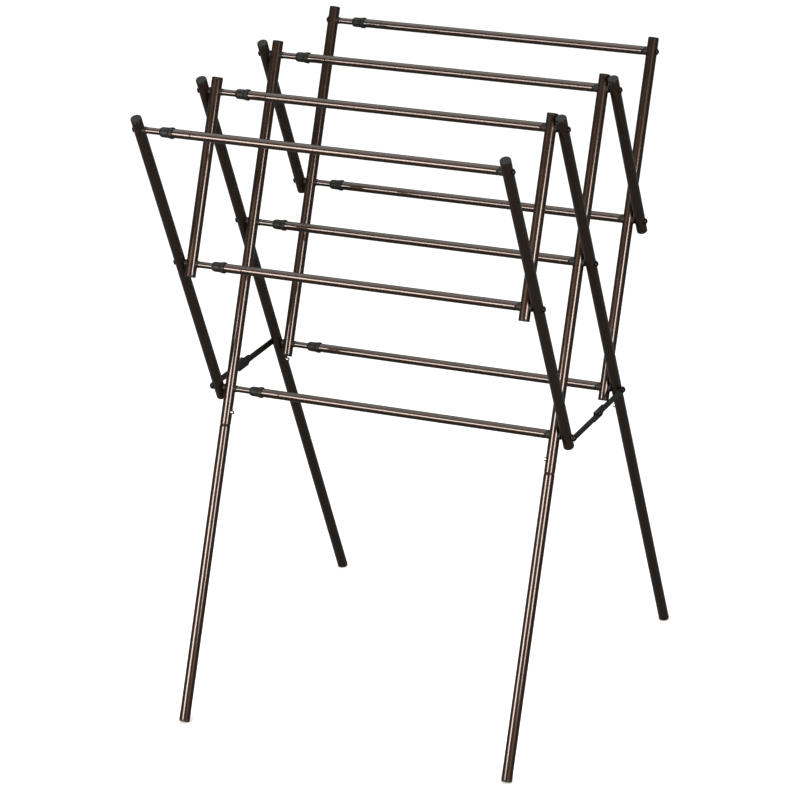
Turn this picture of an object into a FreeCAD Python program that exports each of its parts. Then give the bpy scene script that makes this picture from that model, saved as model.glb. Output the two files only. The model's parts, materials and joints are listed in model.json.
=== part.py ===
import FreeCAD, Part
import math
import os

# Clothes drying rack: two scissor side frames of painted steel tube, joined by nine telescoping rods.
# Millimetres and degrees. +X is the rack's right side, -Y its front, +Z up. The origin is on the floor,
# in the middle of the rack. Each member is modelled in its own frame: Z runs up along the tube, X stays
# the rack's X, and the origin is the member's top pivot. Its Placement then leans it into the rack.

doc = FreeCAD.newDocument("ClothesDryingRack")

dimensions = [
    ("uprightDiameter", 19, "outside diameter of the upright tubes"),
    ("uprightWall", 0.8, "their wall"),
    ("pivotPitch", 296, "pivot to pivot along a member"),
    ("leanAngle", 23.2, "lean of every member when the rack stands open"),
    ("innerPlane", 308, "rack's middle to the axis of the inner tubes"),
    ("planeStep", 22, "inner tube axis to outer tube axis"),
    ("topOverhang", 24.5, "top pivot to the end of a member, cap included"),
    ("bottomOverhang", 23.5, "last pivot to the lower end of a short member, cap included"),
    ("legReach", 595, "last pivot to the floor, along a leg"),
    ("capDisc", 3.5, "visible thickness of an end cap"),
    ("capSpigot", 12, "length of a cap's spigot inside its tube"),
    ("capRound", 1.5, "rounding of a cap's rim"),
    ("footLift", 1.9, "floor to the end face of a leg's cap, along the leg; the floor trims its low edge"),
    ("seamDrop", 64, "last pivot to the seam of a two-piece leg"),
    ("neckLength", 50, "swaged neck of the lower leg tube inside the upper one"),
    ("neckGap", 0.15, "radial play of the neck in the upper tube"),
    ("shoulderLength", 4, "taper between neck and full diameter"),
    ("buttonDrop", 42, "last pivot to the snap button"),
    ("buttonDiameter", 7, "snap button"),
    ("buttonHole", 7.4, "hole that it snaps through"),
    ("buttonStand", 4, "how far the snap button stands out of the leg"),
    ("buttonFlange", 1, "how far its flange stands out round it"),
    ("flangeThickness", 1.2, "thickness of that flange"),
    ("leafWidth", 8, "flat spring behind the snap button"),
    ("leafThickness", 1, "its thickness"),
    ("leafLength", 44, "its length"),
    ("leafRise", 6, "spring above the middle of the button"),
    ("leafSeat", 4.4, "leg's axis to the spring's outer face"),
    ("rodDiameter", 15.5, "outer tube of a telescoping rod"),
    ("rodWall", 0.8, "its wall"),
    ("rodTaper", 3, "length rolled in at the rod's fixed end"),
    ("rodTaperDepth", 0.5, "radius lost there"),
    ("grooveOffset", 37, "collar's middle to the rolled groove in the outer tube"),
    ("grooveRadius", 1.5, "section of the rolled groove"),
    ("grooveDepth", 0.4, "its depth"),
    ("slimRodDiameter", 11, "inner tube of a telescoping rod"),
    ("slimRodWall", 0.7, "its wall"),
    ("slimRodLength", 460, "its length"),
    ("collarInset", 43, "face of the left upright to the middle of a collar"),
    ("collarLength", 24, "collar"),
    ("collarDiameter", 19.6, "its largest diameter"),
    ("collarNose", 13.6, "diameter of its nose round the slim tube"),
    ("collarNoseLength", 8, "tapered part of the collar"),
    ("collarSkirt", 8, "length of the collar that sleeves over the outer tube"),
    ("collarPlay", 0.25, "radial play of the slim tube in the collar"),
    ("saddleLength", 4.5, "black saddle between an upright and a rod's end"),
    ("saddleRim", 0.6, "how far a slim rod's saddle stands out round the rod"),
    ("spigotLength", 16, "its spigot inside the rod"),
    ("fitGap", 0.05, "radial play of pieces that are pressed together"),
    ("sideGap", 0.3, "side play between pieces that turn on each other"),
    ("overrun", 1, "how far a cutting shape runs past what it cuts"),
    ("rivetDiameter", 6, "pivot rivet"),
    ("rivetTail", 26, "upright's axis to the rivet's end inside the rod"),
    ("headDiameter", 9.6, "domed rivet head"),
    ("headHeight", 3, "its height"),
    ("washerDiameter", 11.4, "washer under the head"),
    ("washerThickness", 0.8, "its thickness"),
    ("spacerDiameter", 13, "spacer between an inner and an outer tube"),
    ("strapWidth", 12, "links of the folding stay"),
    ("strapThickness", 2, "their thickness"),
    ("strapGap", 0.4, "side play of the links"),
    ("plateLength", 40, "widened middle end of the rear link"),
    ("plateDrop", 10, "plate below the link's axis"),
    ("plateRise", 9, "plate above the link's axis"),
    ("flangeReach", 5, "how far the stop flange bends out past the plate"),
    ("flangeTail", 4, "flange beyond the middle rivet"),
    ("stayRivetDiameter", 5, "middle rivet of the stay"),
]

sheet = doc.addObject("Spreadsheet::Sheet", "Sizes")
for row, (alias, value, note) in enumerate(dimensions, start=1):
    sheet.set("A%d" % row, note)
    sheet.set("B%d" % row, str(value))
    sheet.setAlias("B%d" % row, alias)
doc.recompute()

size = {alias: float(sheet.get(alias)) for alias, value, note in dimensions}
lean = math.radians(size["leanAngle"])
columnStep = 2 * size["pivotPitch"] * math.sin(lean)  # front-to-back distance between neighbouring rods
topHeight = (2 * size["pivotPitch"] + size["legReach"]) * math.cos(lean)
pivotHeight = size["legReach"] * math.cos(lean)  # the lowest row of pivots, where the stay sits
tolerance = 0.01

xAxis = FreeCAD.Vector(1, 0, 0)
yAxis = FreeCAD.Vector(0, 1, 0)

# Lengths that many pieces share, as expressions on the sheet.
tubeRadius = "Sizes.uprightDiameter / 2"
boreRadius = "(Sizes.uprightDiameter / 2 - Sizes.uprightWall)"
rivetRadius = "Sizes.rivetDiameter / 2"
crossedFace = "(Sizes.planeStep + Sizes.uprightDiameter / 2 + Sizes.sideGap)"
rearLinkFace = "(Sizes.uprightDiameter / 2 + Sizes.strapGap)"
frontLinkFace = "(Sizes.uprightDiameter / 2 + 2 * Sizes.strapGap + Sizes.strapThickness)"
seatRadius = tubeRadius + " + Sizes.fitGap"
spigotRadius = boreRadius + " - Sizes.fitGap"
rivetBore = rivetRadius + " + Sizes.fitGap"
seamHeight = "-2 * Sizes.pivotPitch - Sizes.seamDrop"
buttonHeight = "-2 * Sizes.pivotPitch - Sizes.buttonDrop"
soleHeight = "-2 * Sizes.pivotPitch - Sizes.legReach"
legEnd = soleHeight + " + Sizes.footLift + Sizes.capDisc"
longBore = "4 * Sizes.uprightDiameter"  # longer than any piece it goes through


def bind(item, sizes, place):
    for name, formula in sizes.items():
        item.setExpression(name, formula)
    for axis, formula in zip("xyz", place):
        item.setExpression("Placement.Base." + axis, formula)
    return item


def post(radius, length, start="0"):
    """A cylinder along the member, from start upwards."""
    item = doc.addObject("Part::Cylinder", "Post")
    return bind(item, {"Radius": radius, "Height": length}, ("0", "0", start))


def postCone(lowRadius, highRadius, length, start):
    item = doc.addObject("Part::Cone", "PostCone")
    return bind(item, {"Radius1": lowRadius, "Radius2": highRadius, "Height": length}, ("0", "0", start))


def across(radius, length, start, toward, height="0", along="0"):
    """A cylinder along X, from start outwards on the side that toward points to."""
    item = doc.addObject("Part::Cylinder", "Across")
    item.Placement.Rotation = FreeCAD.Rotation(yAxis, 90 * toward)
    place = ("%d * (%s)" % (toward, start), along, height)
    return bind(item, {"Radius": radius, "Height": length}, place)


def acrossCone(nearRadius, farRadius, length, start, toward, height):
    item = doc.addObject("Part::Cone", "AcrossCone")
    item.Placement.Rotation = FreeCAD.Rotation(yAxis, 90 * toward)
    place = ("%d * (%s)" % (toward, start), "0", height)
    return bind(item, {"Radius1": nearRadius, "Radius2": farRadius, "Height": length}, place)


def block(sizeX, sizeY, sizeZ, lowX, lowY, lowZ):
    item = doc.addObject("Part::Box", "Block")
    return bind(item, {"Length": sizeX, "Width": sizeY, "Height": sizeZ}, (lowX, lowY, lowZ))


def fuse(*pieces):
    item = doc.addObject("Part::MultiFuse", "Fuse")
    item.Shapes = list(pieces)
    return item


def common(*pieces):
    item = doc.addObject("Part::MultiCommon", "Common")
    item.Shapes = list(pieces)
    return item


def cut(base, *tools):
    item = doc.addObject("Part::Cut", "Cut")
    item.Base = base
    item.Tool = tools[0] if len(tools) == 1 else fuse(*tools)
    return item


def roundEdges(base, radius, wanted):
    """Rounds the edges of base that wanted(edge) picks."""
    doc.recompute()
    item = doc.addObject("Part::Fillet", "Round")
    item.Base = base
    edges = enumerate(base.Shape.Edges, start=1)
    item.Edges = [(number, radius, radius) for number, edge in edges if wanted(edge)]
    return item


subParts = []


def finish(label, pieces, placement):
    """Names a sub-part and puts it in its place. Several separate solids make one grouped sub-part."""
    item = pieces[0]
    if len(pieces) > 1:
        item = doc.addObject("Part::Compound", "Group")
        item.Links = pieces
    item.Label = label
    item.Placement = placement
    subParts.append(item)
    return item


# Members of one side frame. column counts the top pivots from the front, lean is which way the top
# goes (+1 to the rear), and crossed has an entry for each pivot that carries a rod: True where the
# pivot also passes through an outer tube.
members = {
    "short_front_bar": {"plane": 0, "lean": 1, "column": 1, "pivots": 2, "crossed": [True, True]},
    "front_leg": {"plane": 0, "lean": 1, "column": 2, "pivots": 3, "crossed": [True, True, True]},
    "rear_bar": {"plane": 0, "lean": 1, "column": 3, "pivots": 3, "crossed": [False, True, True]},
    "front_arm": {"plane": 1, "lean": -1, "column": 0, "pivots": 3, "crossed": [False]},
    "rear_leg": {"plane": 1, "lean": -1, "column": 1, "pivots": 3, "crossed": []},
    "short_rear_bar": {"plane": 1, "lean": -1, "column": 2, "pivots": 2, "crossed": []},
}
legs = ("front_leg", "rear_leg")
sides = {"right": 1, "left": -1}


def memberPlacement(member, side):
    x = side * (size["innerPlane"] + member["plane"] * size["planeStep"])
    y = (member["column"] - 1.5) * columnStep
    turn = FreeCAD.Rotation(xAxis, -member["lean"] * size["leanAngle"])
    return FreeCAD.Placement(FreeCAD.Vector(x, y, topHeight), turn)


def pivotAt(index):
    return "-%d * Sizes.pivotPitch" % index


def rivetHoles(count):
    start = "-Sizes.uprightDiameter"
    length = "2 * Sizes.uprightDiameter"
    return [across(rivetBore, length, start, 1, pivotAt(index)) for index in range(count)]


def plainTube(member):
    """Upright without a joint: an open tube, drilled at its pivots."""
    last = member["pivots"] - 1
    low = "%s - Sizes.bottomOverhang + Sizes.capDisc" % pivotAt(last)
    ends = "Sizes.topOverhang + Sizes.bottomOverhang - 2 * Sizes.capDisc"
    length = "%d * Sizes.pivotPitch + %s" % (last, ends)
    holes = rivetHoles(member["pivots"])
    return cut(post(tubeRadius, length, low), post(boreRadius, length, low), *holes)


def snapHole(inward):
    reach = tubeRadius + " + Sizes.overrun"
    return across("Sizes.buttonHole / 2", reach, "0", inward, buttonHeight)


def upperLegTube(inward):
    length = "2 * Sizes.pivotPitch + Sizes.seamDrop + Sizes.topOverhang - Sizes.capDisc"
    outside = post(tubeRadius, length, seamHeight)
    inside = post(boreRadius, length, seamHeight)
    return cut(outside, inside, snapHole(inward), *rivetHoles(3))


def lowerLegTube(inward):
    """Its swaged neck slides up into the upper tube, and the snap button comes out through both."""
    shoulder = seamHeight + " - Sizes.shoulderLength"
    below = "Sizes.footLift + Sizes.capDisc + Sizes.seamDrop + Sizes.shoulderLength"
    straight = "Sizes.legReach - (%s)" % below
    neckRadius = "(%s - Sizes.neckGap)" % boreRadius
    neckBore = "(%s - Sizes.uprightWall)" % neckRadius
    outside = fuse(
        post(tubeRadius, straight, legEnd),
        postCone(tubeRadius, neckRadius, "Sizes.shoulderLength", shoulder),
        post(neckRadius, "Sizes.neckLength", seamHeight),
    )
    inside = fuse(
        post(boreRadius, straight, legEnd),
        postCone(boreRadius, neckBore, "Sizes.shoulderLength", shoulder),
        post(neckBore, "Sizes.neckLength", seamHeight),
    )
    return cut(outside, inside, snapHole(inward))


def isRim(edge, height):
    return edge.Closed and abs(edge.CenterOfMass.z - height) < tolerance


def topCap():
    face = size["topOverhang"]
    disc = post(tubeRadius, "Sizes.capDisc", "Sizes.topOverhang - Sizes.capDisc")
    rounded = roundEdges(disc, size["capRound"], lambda edge: isRim(edge, face))
    spigotLow = "Sizes.topOverhang - Sizes.capDisc - Sizes.capSpigot"
    return fuse(rounded, post(spigotRadius, "Sizes.capSpigot", spigotLow))


def bottomCap(member):
    last = member["pivots"] - 1
    face = "%s - Sizes.bottomOverhang" % pivotAt(last)
    disc = post(tubeRadius, "Sizes.capDisc", face)
    height = -last * size["pivotPitch"] - size["bottomOverhang"]
    rounded = roundEdges(disc, size["capRound"], lambda edge: isRim(edge, height))
    return fuse(rounded, post(spigotRadius, "Sizes.capSpigot", face + " + Sizes.capDisc"))


def foot(member):
    """Cap in a leg's lower end, with a flat moulded level with the floor where the leg stands on it."""
    sole = -2 * size["pivotPitch"] - size["legReach"]
    face = sole + size["footLift"]
    disc = post(tubeRadius, "Sizes.capDisc", soleHeight + " + Sizes.footLift")
    rounded = roundEdges(disc, size["capRound"], lambda edge: isRim(edge, face))
    width = 4 * size["uprightDiameter"]
    ground = doc.addObject("Part::Box", "Ground")
    ground.Length = ground.Width = ground.Height = width
    level = FreeCAD.Rotation(xAxis, member["lean"] * size["leanAngle"])
    corner = FreeCAD.Vector(0, 0, sole) + level.multVec(FreeCAD.Vector(-width / 2, -width / 2, -width))
    ground.Placement = FreeCAD.Placement(corner, level)
    return fuse(cut(rounded, ground), post(spigotRadius, "Sizes.capSpigot", legEnd))


def snapButton(inward):
    """Domed button on a flat spring that lies inside the leg."""
    radius = "Sizes.buttonDiameter / 2"
    flangeRadius = radius + " + Sizes.buttonFlange"
    reach = tubeRadius + " + Sizes.buttonStand"
    centre = "%d * (%s - Sizes.buttonDiameter)" % (inward, reach)
    dome = doc.addObject("Part::Sphere", "Dome")
    bind(dome, {"Radius": "Sizes.buttonDiameter"}, (centre, "0", buttonHeight))
    stemStart = "Sizes.leafSeat - Sizes.leafThickness / 2"
    stem = common(across(radius, reach, stemStart, inward, buttonHeight), dome)
    flange = across(flangeRadius, "Sizes.flangeThickness", "Sizes.leafSeat", inward, buttonHeight)
    leafX = "Sizes.leafSeat - Sizes.leafThickness" if inward > 0 else "-Sizes.leafSeat"
    leafZ = buttonHeight + " + Sizes.leafRise - Sizes.leafLength"
    leaf = block("Sizes.leafThickness", "Sizes.leafWidth", "Sizes.leafLength",
                 leafX, "-Sizes.leafWidth / 2", leafZ)
    return fuse(stem, flange, leaf)


def domeHead(base, outward, height, along="0"):
    """A shallow dome that stands on base: a ball cut by a wider and longer drum."""
    ball = "(pow(Sizes.headDiameter / 2; 2) + pow(Sizes.headHeight; 2)) / (2 * Sizes.headHeight)"
    centre = "%d * (%s + Sizes.headHeight - %s)" % (outward, base, ball)
    dome = doc.addObject("Part::Sphere", "Dome")
    bind(dome, {"Radius": ball}, (centre, along, height))
    drumHeight = "Sizes.headHeight + Sizes.overrun"
    return common(across("Sizes.headDiameter", drumHeight, base, outward, height, along), dome)


def rivet(inward, height, tail, face):
    """Pivot rivet: a shank from inside the rod to the head, and a domed head on a washer at face."""
    outward = -inward
    shank = across(rivetRadius, "%s + %s" % (tail, face), "-(%s)" % tail, outward, height)
    washer = across("Sizes.washerDiameter / 2", "Sizes.washerThickness", face, outward, height)
    return fuse(shank, washer, domeHead(face + " + Sizes.washerThickness", outward, height))


def seatOn(height):
    """The upright's outside with its play, to hollow out a piece that sits on it."""
    return post(seatRadius, "4 * Sizes.uprightDiameter", height + " - 2 * Sizes.uprightDiameter")


def saddle(inward, height, saddleRadius, plugRadius):
    """Saddle that fits round the upright, with a spigot that plugs the rod's end."""
    rodEnd = tubeRadius + " + Sizes.saddleLength"
    body = across(saddleRadius, rodEnd, "0", inward, height)
    stub = across(plugRadius, "Sizes.spigotLength", rodEnd, inward, height)
    farSide = across("Sizes.uprightDiameter", "Sizes.uprightDiameter", "0", -inward, height)
    bore = across(rivetBore, longBore, "0", inward, height)
    return cut(fuse(body, stub), seatOn(height), farSide, bore)


def spacer(inward, height):
    """Round spacer between an inner and an outer tube, hollowed to sit on the inner one."""
    length = "Sizes.planeStep - %s - Sizes.sideGap" % tubeRadius
    body = across("Sizes.spacerDiameter / 2", length, "0", -inward, height)
    bore = across(rivetBore, longBore, "0", -inward, height)
    return cut(body, seatOn(height), bore)


def stayWasher(inward, height):
    """Fills the rear link's layer at the pivot where only the front link is held."""
    length = "Sizes.strapThickness + Sizes.strapGap / 2"
    ring = across("Sizes.strapWidth / 2", length, crossedFace, -inward, height)
    bore = across(rivetBore, longBore, "0", -inward, height)
    return cut(ring, bore)


def headFace(name, index, crossed):
    """Distance from the member's axis to the seat of its rivet head."""
    if not crossed:
        return "(%s)" % seatRadius
    if index < 2:
        return crossedFace
    linkFace = frontLinkFace if name == "front_leg" else rearLinkFace
    return "(Sizes.planeStep + %s + Sizes.strapThickness + Sizes.sideGap)" % linkFace


def pivotHardware(name, member, inward):
    """Rivets, saddles and spacers of one member, as separate solids."""
    saddleRadius = "Sizes.slimRodDiameter / 2 + Sizes.saddleRim"
    plugRadius = "Sizes.slimRodDiameter / 2 - Sizes.slimRodWall - Sizes.fitGap"
    if inward < 0:
        saddleRadius = "Sizes.rodDiameter / 2"
        plugRadius = "Sizes.rodDiameter / 2 - Sizes.rodWall - Sizes.fitGap"
    pieces = []
    for index, crossed in enumerate(member["crossed"]):
        height = pivotAt(index)
        pieces.append(rivet(inward, height, "Sizes.rivetTail", headFace(name, index, crossed)))
        pieces.append(saddle(inward, height, saddleRadius, plugRadius))
        if crossed:
            pieces.append(spacer(inward, height))
    if name == "front_leg":
        pieces.append(stayWasher(inward, pivotAt(2)))
    return pieces


def rodSpan(member):
    """Inner faces of the two uprights that a rod joins, as an expression."""
    return "(2 * Sizes.innerPlane + %d * Sizes.planeStep - Sizes.uprightDiameter)" % (2 * member["plane"])


def boreOf(radius, length, start, toward, height):
    """A bore that runs past both ends of the tube it goes through."""
    return across(radius, length + " + 2 * Sizes.overrun", start + " - Sizes.overrun", toward, height)


def outerRod(member, height):
    """Outer tube: fixed to the right upright, rolled in at that end, grooved beyond its collar."""
    start = tubeRadius + " + Sizes.saddleLength"
    openEnd = "Sizes.collarInset + Sizes.collarLength / 2 - Sizes.collarSkirt"
    length = "%s - Sizes.saddleLength - (%s)" % (rodSpan(member), openEnd)
    radius = "Sizes.rodDiameter / 2"
    taper = acrossCone(radius + " - Sizes.rodTaperDepth", radius, "Sizes.rodTaper", start, -1, height)
    barrel = across(radius, length + " - Sizes.rodTaper", start + " + Sizes.rodTaper", -1, height)
    bore = boreOf(radius + " - Sizes.rodWall", length, start, -1, height)
    groove = doc.addObject("Part::Torus", "Groove")
    groove.Placement.Rotation = FreeCAD.Rotation(yAxis, 90)
    ring = radius + " + Sizes.grooveRadius - Sizes.grooveDepth"
    middle = "%s - Sizes.collarInset - Sizes.grooveOffset" % rodSpan(member)
    place = ("-(%s + %s)" % (tubeRadius, middle), "0", height)
    bind(groove, {"Radius1": ring, "Radius2": "Sizes.grooveRadius"}, place)
    return cut(fuse(taper, barrel), bore, groove)


def slimRod(height):
    """Inner tube: fixed to the left upright, slides in the outer tube."""
    start = tubeRadius + " + Sizes.saddleLength"
    radius = "Sizes.slimRodDiameter / 2"
    barrel = across(radius, "Sizes.slimRodLength", start, 1, height)
    return cut(barrel, boreOf(radius + " - Sizes.slimRodWall", "Sizes.slimRodLength", start, 1, height))


def collar(member, height):
    """Guide collar: sleeves over the outer tube's open end, and tapers to the slim tube."""
    radius = "Sizes.collarDiameter / 2"
    right = "%s + %s - Sizes.collarInset - Sizes.collarLength / 2" % (tubeRadius, rodSpan(member))
    drumLength = "Sizes.collarLength - Sizes.collarNoseLength"
    noseStart = right + " + " + drumLength
    drum = across(radius, drumLength, right, -1, height)
    nose = acrossCone(radius, "Sizes.collarNose / 2", "Sizes.collarNoseLength", noseStart, -1, height)
    slimBore = "Sizes.slimRodDiameter / 2 + Sizes.collarPlay"
    bore = boreOf(slimBore, "Sizes.collarLength", right, -1, height)
    sleeveStart = right + " - Sizes.overrun"
    sleeveLength = "Sizes.collarSkirt + Sizes.overrun"
    sleeve = across("Sizes.rodDiameter / 2 + Sizes.fitGap", sleeveLength, sleeveStart, -1, height)
    return cut(fuse(drum, nose), bore, sleeve)


def strap(face, outward, heading, length):
    """Flat link in a layer that starts at face: round ended, from the origin towards heading along Y."""
    half = "Sizes.strapWidth / 2"
    lowX = face if outward > 0 else "-(%s + Sizes.strapThickness)" % face
    lowY = "0" if heading > 0 else "-(%s)" % length
    bar = block("Sizes.strapThickness", length, "Sizes.strapWidth", lowX, lowY, "-" + half)
    ends = [across(half, "Sizes.strapThickness", face, outward, "0", along)
            for along in ("0", "%d * (%s)" % (heading, length))]
    return bar, ends


halfSpan = "Sizes.pivotPitch * sin(Sizes.leanAngle * 1 deg)"


def linkHole(radius, outward, along="0"):
    return across(radius + " + Sizes.fitGap", "2 * Sizes.uprightDiameter", "0", outward, "0", along)


def frontLink(outward):
    bar, ends = strap(frontLinkFace, outward, 1, halfSpan)
    holes = linkHole(rivetRadius, outward), linkHole("Sizes.stayRivetDiameter / 2", outward, halfSpan)
    return cut(fuse(bar, *ends), *holes)


def rearLink(outward):
    """Its widened end lies behind the front link, and its top edge bends out over it as the stop."""
    bar, ends = strap(rearLinkFace, outward, -1, halfSpan)
    plateX = rearLinkFace if outward > 0 else "-(%s + Sizes.strapThickness)" % rearLinkFace
    plateY = "-(%s) - Sizes.plateLength / 2" % halfSpan
    plate = block("Sizes.strapThickness", "Sizes.plateLength", "Sizes.plateDrop + Sizes.plateRise",
                  plateX, plateY, "-Sizes.plateDrop")
    reach = "Sizes.strapThickness + Sizes.flangeReach"
    flangeX = rearLinkFace if outward > 0 else "-(%s + %s)" % (rearLinkFace, reach)
    flange = block(reach, "Sizes.plateLength / 2 + Sizes.flangeTail", "Sizes.strapThickness",
                   flangeX, plateY, "Sizes.plateRise - Sizes.strapThickness")
    return cut(fuse(bar, *ends, plate, flange), linkHole(rivetRadius, outward))


def stayRivet(outward):
    """Middle rivet of the stay, held in the front link."""
    radius = "Sizes.stayRivetDiameter / 2"
    top = frontLinkFace + " + Sizes.strapThickness"
    shank = across(radius, "Sizes.strapThickness", frontLinkFace, outward, "0", halfSpan)
    return fuse(shank, domeHead(top, outward, "0", halfSpan))


for sideName, side in sides.items():
    inward = -side
    for name, member in members.items():
        placement = memberPlacement(member, side)
        tag = name + "_%s_" + sideName
        pivotHeights = [pivotAt(index) for index in range(len(member["crossed"]))]
        if name in legs:
            finish(tag % "upper_tube", [upperLegTube(inward)], placement)
            finish(tag % "lower_tube", [lowerLegTube(inward)], placement)
            finish(tag % "top_cap", [topCap()], placement)
            finish(tag % "foot", [foot(member)], placement)
            finish(tag % "snap_button", [snapButton(inward)], placement)
        else:
            finish(tag % "tube", [plainTube(member)], placement)
            finish(tag % "end_caps", [topCap(), bottomCap(member)], placement)
        if not pivotHeights:
            continue
        finish(tag % "pivots", pivotHardware(name, member, inward), placement)
        if side > 0:
            outerRods = [outerRod(member, height) for height in pivotHeights]
            collars = [collar(member, height) for height in pivotHeights]
            finish(tag % "outer_rods", outerRods, placement)
            finish(tag % "collars", collars, placement)
        else:
            slimRods = [slimRod(height) for height in pivotHeights]
            finish(tag % "slim_rods", slimRods, placement)

    stayX = side * (size["innerPlane"] + size["planeStep"])
    frontEnd = FreeCAD.Placement(FreeCAD.Vector(stayX, -columnStep / 2, pivotHeight), FreeCAD.Rotation())
    rearEnd = FreeCAD.Placement(FreeCAD.Vector(stayX, columnStep / 2, pivotHeight), FreeCAD.Rotation())
    finish("stay_front_link_" + sideName, [frontLink(side), stayRivet(side)], frontEnd)
    finish("stay_rear_link_" + sideName, [rearLink(side)], rearEnd)

doc.recompute()

for item in doc.Objects:
    if "Invalid" in item.State or "Error" in item.State:
        raise RuntimeError("%s (%s) failed: %s" % (item.Name, item.Label, item.State))
for item in subParts:
    if item.Shape.isNull() or not item.Shape.isValid() or not item.Shape.Solids:
        raise RuntimeError("%s has no valid shape" % item.Label)

os.makedirs("parts", exist_ok=True)
for item in subParts:
    item.Shape.exportStep(os.path.join("parts", item.Label + ".step"))
print("%d sub-parts, %d solids" % (len(subParts), sum(len(item.Shape.Solids) for item in subParts)))
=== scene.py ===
import json
import math

import bmesh
import bpy
from mathutils import Matrix, Vector


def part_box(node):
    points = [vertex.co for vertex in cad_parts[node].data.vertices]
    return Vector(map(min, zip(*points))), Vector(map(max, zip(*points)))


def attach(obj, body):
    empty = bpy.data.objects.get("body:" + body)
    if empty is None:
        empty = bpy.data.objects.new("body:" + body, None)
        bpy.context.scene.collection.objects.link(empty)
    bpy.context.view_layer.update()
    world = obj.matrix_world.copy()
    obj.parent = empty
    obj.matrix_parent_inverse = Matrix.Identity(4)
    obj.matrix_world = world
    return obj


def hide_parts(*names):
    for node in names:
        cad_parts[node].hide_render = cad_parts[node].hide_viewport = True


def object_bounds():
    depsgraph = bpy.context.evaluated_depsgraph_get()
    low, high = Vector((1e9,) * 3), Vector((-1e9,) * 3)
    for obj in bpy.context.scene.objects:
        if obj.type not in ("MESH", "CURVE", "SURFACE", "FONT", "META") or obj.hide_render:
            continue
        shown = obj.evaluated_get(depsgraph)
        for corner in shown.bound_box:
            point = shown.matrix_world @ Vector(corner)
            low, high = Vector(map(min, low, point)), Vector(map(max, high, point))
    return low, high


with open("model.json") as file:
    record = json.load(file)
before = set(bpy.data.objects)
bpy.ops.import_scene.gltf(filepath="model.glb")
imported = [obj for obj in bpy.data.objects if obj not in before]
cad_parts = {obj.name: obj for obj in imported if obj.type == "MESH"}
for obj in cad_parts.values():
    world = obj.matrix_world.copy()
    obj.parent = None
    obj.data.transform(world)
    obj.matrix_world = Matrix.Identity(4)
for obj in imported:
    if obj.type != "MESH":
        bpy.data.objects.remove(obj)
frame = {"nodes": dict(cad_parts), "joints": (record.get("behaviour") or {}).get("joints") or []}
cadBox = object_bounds()
mm = 0.001
crease = math.radians(38)   # edges that bend more than this are shaded sharp


def addNode(tree, kind, inputs=None, **settings):
    node = tree.nodes.new(kind)
    for name, value in settings.items():
        setattr(node, name, value)
    for key, value in (inputs or {}).items():
        if isinstance(value, bpy.types.NodeSocket):
            tree.links.new(value, node.inputs[key])
        else:
            node.inputs[key].default_value = value
    return node.outputs[0]


rowInputs = {
    "Outline": "Geometry",
    "Segments": "Int",
    "Seat Radius": "Float",
    "Seat Band": "Float",
    "Sharp Angle": "Float",
    "Count": "Int",
    "Start": "Vector",
    "Step": "Vector",
    "Axis": "Vector",
    "Upright": "Vector",
    "Finish": "Material",
}
weld = 0.002 * mm   # closes the seam and the poles


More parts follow.
